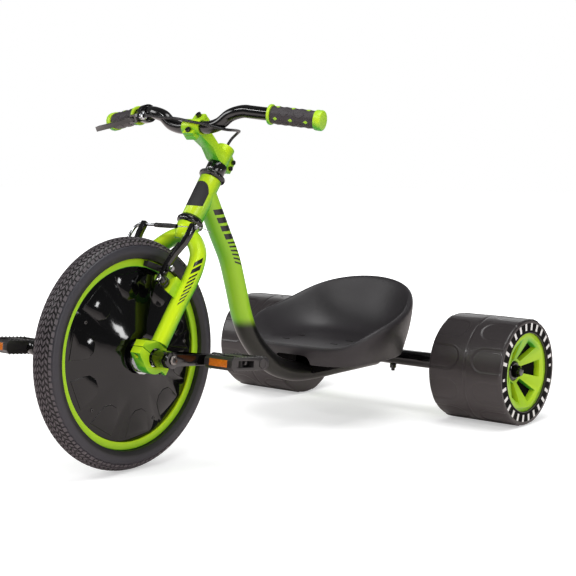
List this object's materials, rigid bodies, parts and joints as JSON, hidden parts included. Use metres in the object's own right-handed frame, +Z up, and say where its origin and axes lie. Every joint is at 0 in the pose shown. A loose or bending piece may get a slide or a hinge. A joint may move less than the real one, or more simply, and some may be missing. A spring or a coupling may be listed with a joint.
{
  "type": "drift trike",
  "caption": "Low-slung pedal trike with a large driven front wheel, bucket seat, hard slick rear wheels and a hand brake, for sliding round bends.",
  "frame": {"origin": "on the ground under the middle of the trike's length and width", "axes": "+Z up; +X towards the rider's left; the rider faces -Y"},
  "size_m": [0.6934, 1.0138, 0.607],
  "materials": {
    "lime_paint": "gloss powder coat in lime green, fading to black along the seat rail",
    "lime_plastic": "moulded lime green plastic",
    "black_paint": "gloss black paint",
    "gloss_cover": "deep black high gloss",
    "seat_plastic": "satin black with a fine grain",
    "tyre": "black rubber with a block tread",
    "roller_plastic": "hard black plastic with a low satin sheen",
    "grip_rubber": "charcoal rubber",
    "cable_rubber": "black cable sleeve",
    "chrome": "bright plated steel",
    "black_steel": "blackened steel",
    "pedal_plastic": "black moulded plastic",
    "amber_lens": "amber prismatic lens"
  },
  "bodies": {
    "chassis": {"frame": "lime_paint", "rear_axle": "black_paint", "axle_bolt_left": "black_steel", "axle_bolt_right": "black_steel", "axle_nut_left": "black_steel", "axle_nut_right": "black_steel", "seat_shell": "seat_plastic", "seat_bracket": "black_paint", "headset_lower_cup": "black_steel", "headset_upper_cup": "black_steel"},
    "steering": {"fork": "lime_paint", "hub_clamp_cap_left": "lime_paint", "hub_clamp_cap_right": "lime_paint", "hub_bearing_left": "chrome", "hub_bearing_right": "chrome", "headset_locknut": "black_steel", "stem": "lime_paint", "stem_faceplate": "lime_paint", "faceplate_bolt_upper": "black_steel", "faceplate_bolt_lower": "black_steel", "stem_pinch_bolt_upper": "black_steel", "stem_pinch_bolt_lower": "black_steel", "handlebar": "black_paint", "grip_left": "grip_rubber", "grip_right": "grip_rubber", "bar_end_plug_left": "lime_plastic", "bar_end_plug_right": "lime_plastic", "brake_lever_perch": "black_paint", "brake_cable": "cable_rubber", "brake_pivot_bolt_left": "chrome", "brake_pivot_bolt_right": "chrome"},
    "brake_lever": {"brake_lever_blade": "black_paint"},
    "brake_arm_left": {"brake_arm_left": "black_paint", "brake_pad_left": "grip_rubber", "brake_boot_and_wire": "cable_rubber"},
    "brake_arm_right": {"brake_arm_right": "black_paint", "brake_pad_right": "grip_rubber", "brake_noodle": "chrome"},
    "front_wheel": {"front_tyre": "tyre", "front_rim": "lime_paint", "front_hub_shell": "chrome", "wheel_cover_left": "gloss_cover", "wheel_cover_right": "gloss_cover"},
    "crankset": {"crank_spindle": "chrome", "crank_left": "black_paint", "crank_right": "black_paint", "crank_bolt_left": "chrome", "crank_bolt_right": "chrome"},
    "pedal_left": {"pedal_left": "pedal_plastic", "reflector_left_front": "amber_lens", "reflector_left_rear": "amber_lens"},
    "pedal_right": {"pedal_right": "pedal_plastic", "reflector_right_front": "amber_lens", "reflector_right_rear": "amber_lens"},
    "rear_wheel_left": {"rear_tyre_left": "roller_plastic", "rear_hub_left": "lime_plastic", "rear_bush_left": "black_paint"},
    "rear_wheel_right": {"rear_tyre_right": "roller_plastic", "rear_hub_right": "lime_plastic", "rear_bush_right": "black_paint"}
  },
  "joints": [
    {"name": "steering", "type": "hinge", "parent": "chassis", "child": "steering", "pos_m": [0, -0.1297, 0.44159], "axis": [0, 0.5948, 0.8039], "range_deg": [-90, 90]},
    {"name": "front_wheel_spin", "type": "hinge", "parent": "steering", "child": "front_wheel", "pos_m": [0, -0.3129, 0.194], "axis": [1, 0, 0], "continuous": true},
    {"name": "crank_spin", "type": "hinge", "parent": "steering", "child": "crankset", "pos_m": [0, -0.3129, 0.194], "axis": [1, 0, 0], "continuous": true},
    {"name": "pedal_left_spin", "type": "hinge", "parent": "crankset", "child": "pedal_left", "pos_m": [0.14, -0.20074, 0.18023], "axis": [1, 0, 0], "continuous": true},
    {"name": "pedal_right_spin", "type": "hinge", "parent": "crankset", "child": "pedal_right", "pos_m": [-0.14, -0.42506, 0.20777], "axis": [1, 0, 0], "continuous": true},
    {"name": "rear_wheel_left_spin", "type": "hinge", "parent": "chassis", "child": "rear_wheel_left", "pos_m": [0.2677, 0.4041, 0.1028], "axis": [1, 0, 0], "continuous": true},
    {"name": "rear_wheel_right_spin", "type": "hinge", "parent": "chassis", "child": "rear_wheel_right", "pos_m": [-0.2677, 0.4041, 0.1028], "axis": [1, 0, 0], "continuous": true},
    {"name": "brake_lever_pull", "type": "hinge", "parent": "steering", "child": "brake_lever", "pos_m": [-0.13713, -0.15491, 0.5815], "axis": [0.1834, 0.2743, -0.944], "range_deg": [0, 15], "stiffness_Nm_per_rad": 0.6, "springref_deg": -14.32},
    {"name": "brake_arm_left_swing", "type": "hinge", "parent": "steering", "child": "brake_arm_left", "pos_m": [0.043, -0.27563, 0.31632], "axis": [0, -0.8039, 0.5948], "range_deg": [0, 2.4], "deforming": ["brake_boot_and_wire"]},
    {"name": "brake_arm_right_swing", "type": "hinge", "parent": "steering", "child": "brake_arm_right", "pos_m": [-0.043, -0.27563, 0.31632], "axis": [0, 0.8039, -0.5948], "range_deg": [0, 2.4]}
  ],
  "couplings": [
    {"joint": "brake_arm_left_swing", "follows": "brake_lever_pull", "ratio": 0.16},
    {"joint": "brake_arm_right_swing", "follows": "brake_lever_pull", "ratio": 0.16}
  ]
}
